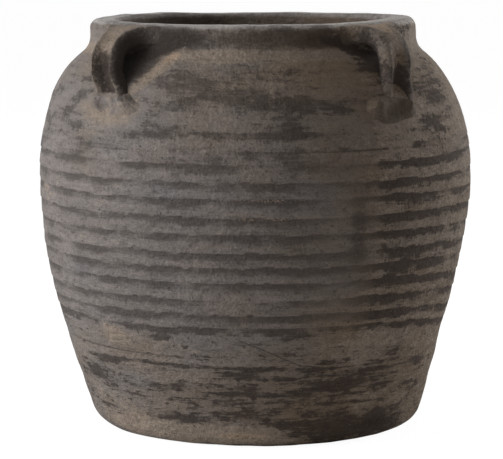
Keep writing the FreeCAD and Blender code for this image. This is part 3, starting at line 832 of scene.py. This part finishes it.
def pad_proud(lug, across, up, crown):
    """How far the outer skin of a pad stands proud of the wall."""
    proud = PAD_CROWN * crown - PAD_EDGE
    for middle, level, spread, lift in PAD_LOBES:
        proud += lift * bell(math.hypot(across - middle, up - level), spread) * min(1.0, crown * 2.5)
    return proud + 1.2 * noise.noise((across / 8, up / 7, lug.number * 2.9)) * crown


def make_pad(lug):
    """Clay pressed over the foot of a lug, with a lobe at each edge of the strap and the thumb's dents."""
    middle = math.radians(lug.turn + lug.pad_turn)
    bm = bmesh.new()
    bmesh.ops.create_uvsphere(bm, u_segments=96, v_segments=64, radius=1)
    layers = new_layers(bm)
    for vert in bm.verts:
        flat = Vector((vert.co.x, vert.co.y))
        outline = 1 + 0.25 * noise.noise((flat.x * 1.6, flat.y * 1.6, lug.number * 4.2))
        across = flat.x * PAD_HALF_WIDTH * outline
        up = flat.y * PAD_HALF_HEIGHT * outline
        crown = max(0.0, 1 - flat.length_squared)
        proud = pad_proud(lug, across, up, crown) if vert.co.z > 0 else -PAD_SINK * crown - PAD_EDGE
        height = lug.pad_height + up * PAD_LEAN
        lean = wall_normal(height * MM)
        radius = wall_radius(height * MM) + lean.x * proud * MM
        angle = middle + across * MM / radius
        place = Vector((radius * math.cos(angle), radius * math.sin(angle), (height + lean.y * proud) * MM))
        bearing = bearing_of(place)
        rough = right_side(bearing)
        pressed = min(1.0, crown * (2 + 0.8 * rough))
        soot = -0.05 + 0.6 * noise.noise((across / 12, up / 9, lug.number * 1.7)) + 1.5 * rough
        soot += 0.9 * bell(across - 18, 7) * bell(up - 6, 6)
        soot += 0.8 * rough * bell(across + 2, 6) * bell(up + 3, 7)
        wall_buff = mark_strength(BUFF_AND_EDGE_LIGHT_MARKS, bearing, height) + 0.3 * rough
        record(vert, layers,
               soot=blend(soot_shade_and_light_at(bearing, height), soot, pressed),
               buff=blend(wall_buff, 0.6 - 0.3 * crown - 0.2 * rough, pressed),
               chip=mark_strength(CHIP_MARKS, bearing, height),
               brown=brownness(bearing, height),
               dry=0.6 - 0.35 * rough)
        vert.co = place + sway(place.z / MM)
    new_piece(f"lug_pad_{lug.side}_clay", bm, f"lug_pad_{lug.side}", LUG_CLAY)


# Finishes

class Value:
    """A value that changes over a surface. Sums with it add nodes to its finish."""

    def __init__(self, finish, socket):
        self.finish = finish
        self.socket = socket

    def output(self, name):
        """Another output of the same node."""
        return Value(self.finish, self.socket.node.outputs[name])

    def __add__(self, other):
        return self.finish.math("ADD", self, other)

    def __radd__(self, other):
        return self.finish.math("ADD", other, self)

    def __sub__(self, other):
        return self.finish.math("SUBTRACT", self, other)

    def __rsub__(self, other):
        return self.finish.math("SUBTRACT", other, self)

    def __mul__(self, other):
        return self.finish.math("MULTIPLY", self, other)

    def __rmul__(self, other):
        return self.finish.math("MULTIPLY", other, self)


class Finish:
    """The nodes of a material or of the world."""

    def __init__(self, owner):
        owner.use_nodes = True
        self.tree = owner.node_tree
        self.tree.nodes.clear()

    @functools.cached_property
    def place(self):
        return self.add("ShaderNodeTexCoord", output="Object")

    def add(self, kind, settings=None, inputs=None, output=0):
        """Adds a node and gives one of its outputs, if it has any."""
        node = self.tree.nodes.new(kind)
        for name, setting in (settings or {}).items():
            setattr(node, name, setting)
        for name, given in (inputs or {}).items():
            if isinstance(given, Value):
                self.tree.links.new(given.socket, node.inputs[name])
            else:
                node.inputs[name].default_value = given
        return Value(self, node.outputs[output]) if node.outputs else None

    def math(self, operation, first, second):
        return self.add("ShaderNodeMath", {"operation": operation}, {0: first, 1: second})

    def vector(self, operation, first, second, output=0):
        return self.add("ShaderNodeVectorMath", {"operation": operation}, {0: first, 1: second}, output)

    def scaled(self, vector, scale):
        return self.add("ShaderNodeVectorMath", {"operation": "SCALE"}, {0: vector, "Scale": scale})

    def between(self, value, low, high, start=0.0, finish=1.0):
        """Eases from start to finish as the value goes from low to high."""
        inputs = {"Value": value, "From Min": low, "From Max": high, "To Min": start, "To Max": finish}
        return self.add("ShaderNodeMapRange", {"interpolation_type": "SMOOTHSTEP"}, inputs)

    def mix(self, share, first, second):
        """Mixes two colours, by way of the node's colour sockets."""
        settings = {"data_type": "RGBA", "clamp_factor": True}
        return self.add("ShaderNodeMix", settings, {0: share, 6: first, 7: second}, 2)

    def noise(self, level, upright, detail, roughness=0.55, distortion=0.0):
        """Noise from -0.5 to 0.5, with so many swings in a metre on the level and upright."""
        inputs = {"Vector": self.vector("MULTIPLY", self.place, (level, level, upright)), "Scale": 1.0,
                  "Detail": detail, "Roughness": roughness, "Distortion": distortion}
        return self.add("ShaderNodeTexNoise", {"normalize": True}, inputs) - 0.5

    def specks(self, per_metre, size, share):
        """Small round specks in a share of the cells of an even scatter."""
        near = self.add("ShaderNodeTexVoronoi", {"feature": "F1"}, {"Vector": self.place, "Scale": per_metre})
        chance = self.add("ShaderNodeSeparateColor", None, {"Color": near.output("Color")})
        return self.between(near, size, size * 0.5) * self.between(chance, share + 0.02, share)

    def mark(self, name):
        return self.add("ShaderNodeAttribute", {"attribute_name": name}, None, "Fac")


SMOKED_CLAY = (0.195, 0.172, 0.161, 1)
BROWN_CLAY = (0.190, 0.139, 0.096, 1)
BARE_BUFF = (0.250, 0.200, 0.158, 1)
SOOT = (0.039, 0.033, 0.030, 1)
BROWN_SOOT = (0.043, 0.029, 0.023, 1)
ASH = (0.153, 0.146, 0.147, 1)
PALE_CLAY = (0.340, 0.250, 0.180, 1)
BURNISHED = (0.410, 0.384, 0.362, 1)
WHITE = (1, 1, 1, 1)

SCRATCH_HALF = 1.0 * MM
SCRATCH_CORE = 0.3 * MM
GRAIN_HEIGHT = 2.2 * MM
STREAKS_DRAWN = 4.2  # how many times as long as high the streaks of a wall are
LUG_STREAKS_DRAWN = 1.3


def scratch_lines(finish, across, deep, up):
    """Fine dark lines scored into the outside."""
    angle = finish.math("ARCTAN2", deep, across)
    place = finish.add("ShaderNodeCombineXYZ", None, {0: angle * BELLY_RADIUS, 1: up})
    lines = 0.0
    for places, strength in SCRATCHES:
        spots = [Vector((math.radians(bearing + VIEW_TURN) * BELLY_RADIUS, height * MM, 0))
                 for bearing, height in places]
        for start, end in zip(spots, spots[1:]):
            run = end - start
            offset = finish.vector("SUBTRACT", place, tuple(start))
            share = finish.vector("DOT_PRODUCT", offset, tuple(run / run.length_squared), "Value")
            held = finish.add("ShaderNodeClamp", None, {"Value": share})
            reach = finish.vector("DISTANCE", offset, finish.scaled(tuple(run), held), "Value")
            lines = finish.between(reach, SCRATCH_HALF, SCRATCH_CORE, 0, strength) + lines
    return lines


def make_clay(name, drawn, burnished=False):
    """Unglazed clay, smoked grey, with soot in its hollows and buff where the smoke was rubbed off; the same
    marks also carry painted shade under and beside the lugs and painted light on the pot's left edge.

    drawn says how far its streaks are drawn out round the pot."""
    material = bpy.data.materials.new(name)
    finish = Finish(material)
    soot, buff, chip, brown, dry = (finish.mark(mark) for mark in MARK_NAMES)
    across = finish.add("ShaderNodeSeparateXYZ", None, {0: finish.place})
    deep = across.output(1)
    up = across.output(2)
    upright = finish.between(up, LOW_SEAM + 15 * MM, LOW_SEAM + 40 * MM, 0.3, 1)
    calm = finish.between(up, HIGH_SEAM, HIGH_SEAM + 25 * MM, 1, 0.6)
    cloud = finish.noise(9, 16, detail=4)
    drift = finish.noise(11, 26, detail=3)
    brush = finish.noise(150 / drawn, 150, detail=5, roughness=0.65, distortion=0.4)
    drag = finish.noise(420 / drawn, 420, detail=4, roughness=0.65)
    streaks = finish.noise(115 / drawn, 230, detail=5, roughness=0.6)
    hatch = finish.noise(430, 95, detail=3, roughness=0.6) * upright * calm
    lumps = finish.noise(120, 170, detail=3, roughness=0.6)
    grain = finish.noise(480, 620, detail=3, roughness=0.65)
    sand = finish.noise(1500, 1500, detail=2, roughness=0.7)

    colour = finish.mix(brown + cloud * 1.6, SMOKED_CLAY, BROWN_CLAY)
    ash = finish.between(drift, 0, 0.22) * (1.05 - brown)
    colour = finish.mix(ash * 0.7, colour, ASH)
    rubbed = 0.0
    if burnished:
        rubbed = finish.between(up, RIM_HEIGHT - 5 * MM, RIM_HEIGHT - 1 * MM)
        colour = finish.mix(rubbed * 0.8, colour, BURNISHED)
    bare = buff + (grain * 0.8 + lumps * 0.7 - brush * 1.5) * calm
    colour = finish.mix(finish.between(bare, 0.2, 0.7) * 0.85, colour, BARE_BUFF)
    colour = finish.mix(finish.between(buff, 1.1, 1.8) * 0.9, colour, PALE_CLAY)

    broken = brush * 1.3 * upright + drag * (2.1 - upright) + hatch * 1.3 + lumps * 1.1
    # Besides real soot and buff, these marks carry painted shade under and beside the lugs and painted light
    # on the pot's left edge
    smoke = soot - buff * 0.4 + broken * (0.5 + dry * 1.1)
    smoke = smoke + streaks * dry * 2.6 + grain * 0.75 * calm
    soft = finish.between(smoke, -0.15, 1.05)
    crisp = finish.between(smoke, 0.2, 0.62)
    thick = 0.42 + dry * 0.58 + lumps * 0.6 + drag * 0.6
    # Soot is browner where the clay is browner, so the painted warm tint of the side in shade reaches its
    # dark marks too
    dark = finish.mix(brown, SOOT, BROWN_SOOT)
    colour = finish.mix((soft + (crisp - soft) * dry) * thick, colour, dark)

    pale = chip * finish.between(grain + drag * 0.6, 0.02, 0.12)
    colour = finish.mix(pale * 0.7, colour, PALE_CLAY)
    colour = finish.mix(scratch_lines(finish, across, deep, up) * 0.75, colour, SOOT)
    pits = finish.specks(130, 0.13, 0.16)
    colour = finish.mix(pits * 0.8, colour, SOOT)
    colour = finish.mix(finish.specks(190, 0.15, 0.12) * 0.5, colour, BARE_BUFF)
    mottle = lumps * 1.1 + drag + hatch * 0.7 + grain * 1.3 + sand * 0.8
    colour = finish.scaled(colour, 1.0 + mottle * calm)

    rough = finish.between(smoke, 0.2, 0.9, 0.78, 0.88) - 0.3 * rubbed
    height = grain * 0.5 + sand * 0.12 + drag * 0.6 + lumps * 1.3 - pits * 0.4
    bump = finish.add("ShaderNodeBump", None, {"Strength": 0.9, "Distance": GRAIN_HEIGHT, "Height": height})
    shader = finish.add("ShaderNodeBsdfPrincipled", None, {
        "Base Color": colour,
        "Roughness": rough,
        "Normal": bump,
        "Specular IOR Level": 0.2,
    })
    finish.add("ShaderNodeOutputMaterial", None, {"Surface": shader})
    return material


CLAY = make_clay("smoked_clay", STREAKS_DRAWN)
LUG_CLAY = make_clay("pulled_clay", LUG_STREAKS_DRAWN)
RIM_CLAY = make_clay("rubbed_rim_clay", STREAKS_DRAWN, burnished=True)

make_base_slab()
make_wall("lower_wall", SLAB_TOP, LOW_SEAM)
make_wall("belly_wall", LOW_SEAM, HIGH_SEAM)
make_wall("shoulder_wall", HIGH_SEAM, NECK_OUTSIDE.y)
make_rim_collar()
for one_lug in LUGS:
    make_lug(one_lug)
    make_pad(one_lug)


# Floor, light and camera

FLOOR_HALF = 30
PAPER = (0.85, 0.85, 0.85, 1)
PAPER_GLOW = 1.13
SHADOW_LOSS = 0.85  # share of the floor's shade that the glow covers
ROOM_LIGHT = 0.2

PICTURE_WIDTH = 503  # of the photo, in pixels
VIEW_LENGTH = 2455.5  # of the lens, in the same pixels
SENSOR_WIDTH = 36
CAMERA_DISTANCE = 2.4399
CAMERA_HEIGHT = 0.5045
CAMERA_TILT = 7.367  # down from level, in degrees
CAMERA_ASIDE = 3 * MM  # the pot stands a little right of the picture's middle


def make_floor():
    """A wide floor that is close to white and still keeps the pot's shadow."""
    bm = bmesh.new()
    bmesh.ops.create_grid(bm, x_segments=1, y_segments=1, size=FLOOR_HALF)
    mesh = bpy.data.meshes.new("floor")
    bm.to_mesh(mesh)
    bm.free()
    material = bpy.data.materials.new("pale_floor")
    finish = Finish(material)
    paper = finish.add("ShaderNodeBsdfDiffuse", None, {"Color": PAPER})
    white = finish.add("ShaderNodeEmission", None, {"Color": WHITE, "Strength": PAPER_GLOW})
    seen = finish.add("ShaderNodeLightPath", output="Is Camera Ray")
    mixed = finish.add("ShaderNodeMixShader", None, {0: seen * SHADOW_LOSS, 1: paper, 2: white})
    finish.add("ShaderNodeOutputMaterial", None, {"Surface": mixed})
    mesh.materials.append(material)
    floor = bpy.data.objects.new("floor", mesh)
    bpy.context.collection.objects.link(floor)


def make_world():
    """A dim room that looks white to the camera and in reflections."""
    world = bpy.data.worlds.new("studio")
    finish = Finish(world)
    seen = finish.add("ShaderNodeLightPath", output="Is Camera Ray")
    shown = finish.math("MAXIMUM", seen, seen.output("Is Glossy Ray"))
    room = finish.add("ShaderNodeBackground", None, {"Color": WHITE, "Strength": ROOM_LIGHT})
    white = finish.add("ShaderNodeBackground", None, {"Color": WHITE})
    mixed = finish.add("ShaderNodeMixShader", None, {0: shown, 1: room, 2: white})
    finish.add("ShaderNodeOutputWorld", None, {"Surface": mixed})
    bpy.context.scene.world = world


def make_lamp(name, bearing, distance, height, size, power):
    """A square soft lamp that faces the middle of the pot."""
    lamp = bpy.data.lights.new(name, "AREA")
    lamp.size = size
    lamp.energy = power
    holder = bpy.data.objects.new(name, lamp)
    angle = math.radians(bearing + VIEW_TURN)
    holder.location = (distance * math.cos(angle), distance * math.sin(angle), height)
    aim = Vector((0, 0, RIM_HEIGHT / 2)) - holder.location
    holder.rotation_euler = aim.to_track_quat("-Z", "Y").to_euler()
    bpy.context.collection.objects.link(holder)


def make_camera():
    """The view of the photo."""
    camera = bpy.data.cameras.new("camera")
    camera.sensor_width = SENSOR_WIDTH
    camera.sensor_fit = "HORIZONTAL"
    camera.lens = VIEW_LENGTH / PICTURE_WIDTH * SENSOR_WIDTH
    holder = bpy.data.objects.new("camera", camera)
    angle = math.radians(VIEW_TURN)
    towards = Vector((math.cos(angle), math.sin(angle), 0))
    holder.location = towards * CAMERA_DISTANCE - RIGHTWARD * CAMERA_ASIDE + Vector((0, 0, CAMERA_HEIGHT))
    holder.rotation_euler = (math.radians(90 - CAMERA_TILT), 0, math.radians(VIEW_TURN + 90))
    bpy.context.collection.objects.link(holder)
    bpy.context.scene.camera = holder


make_floor()
make_world()
make_lamp("key", bearing=-74, distance=2.6, height=1.15, size=1.6, power=73)
make_lamp("fill", bearing=125, distance=3.0, height=1.0, size=1.5, power=47)
make_camera()
bpy.context.scene.view_settings.view_transform = "Standard"
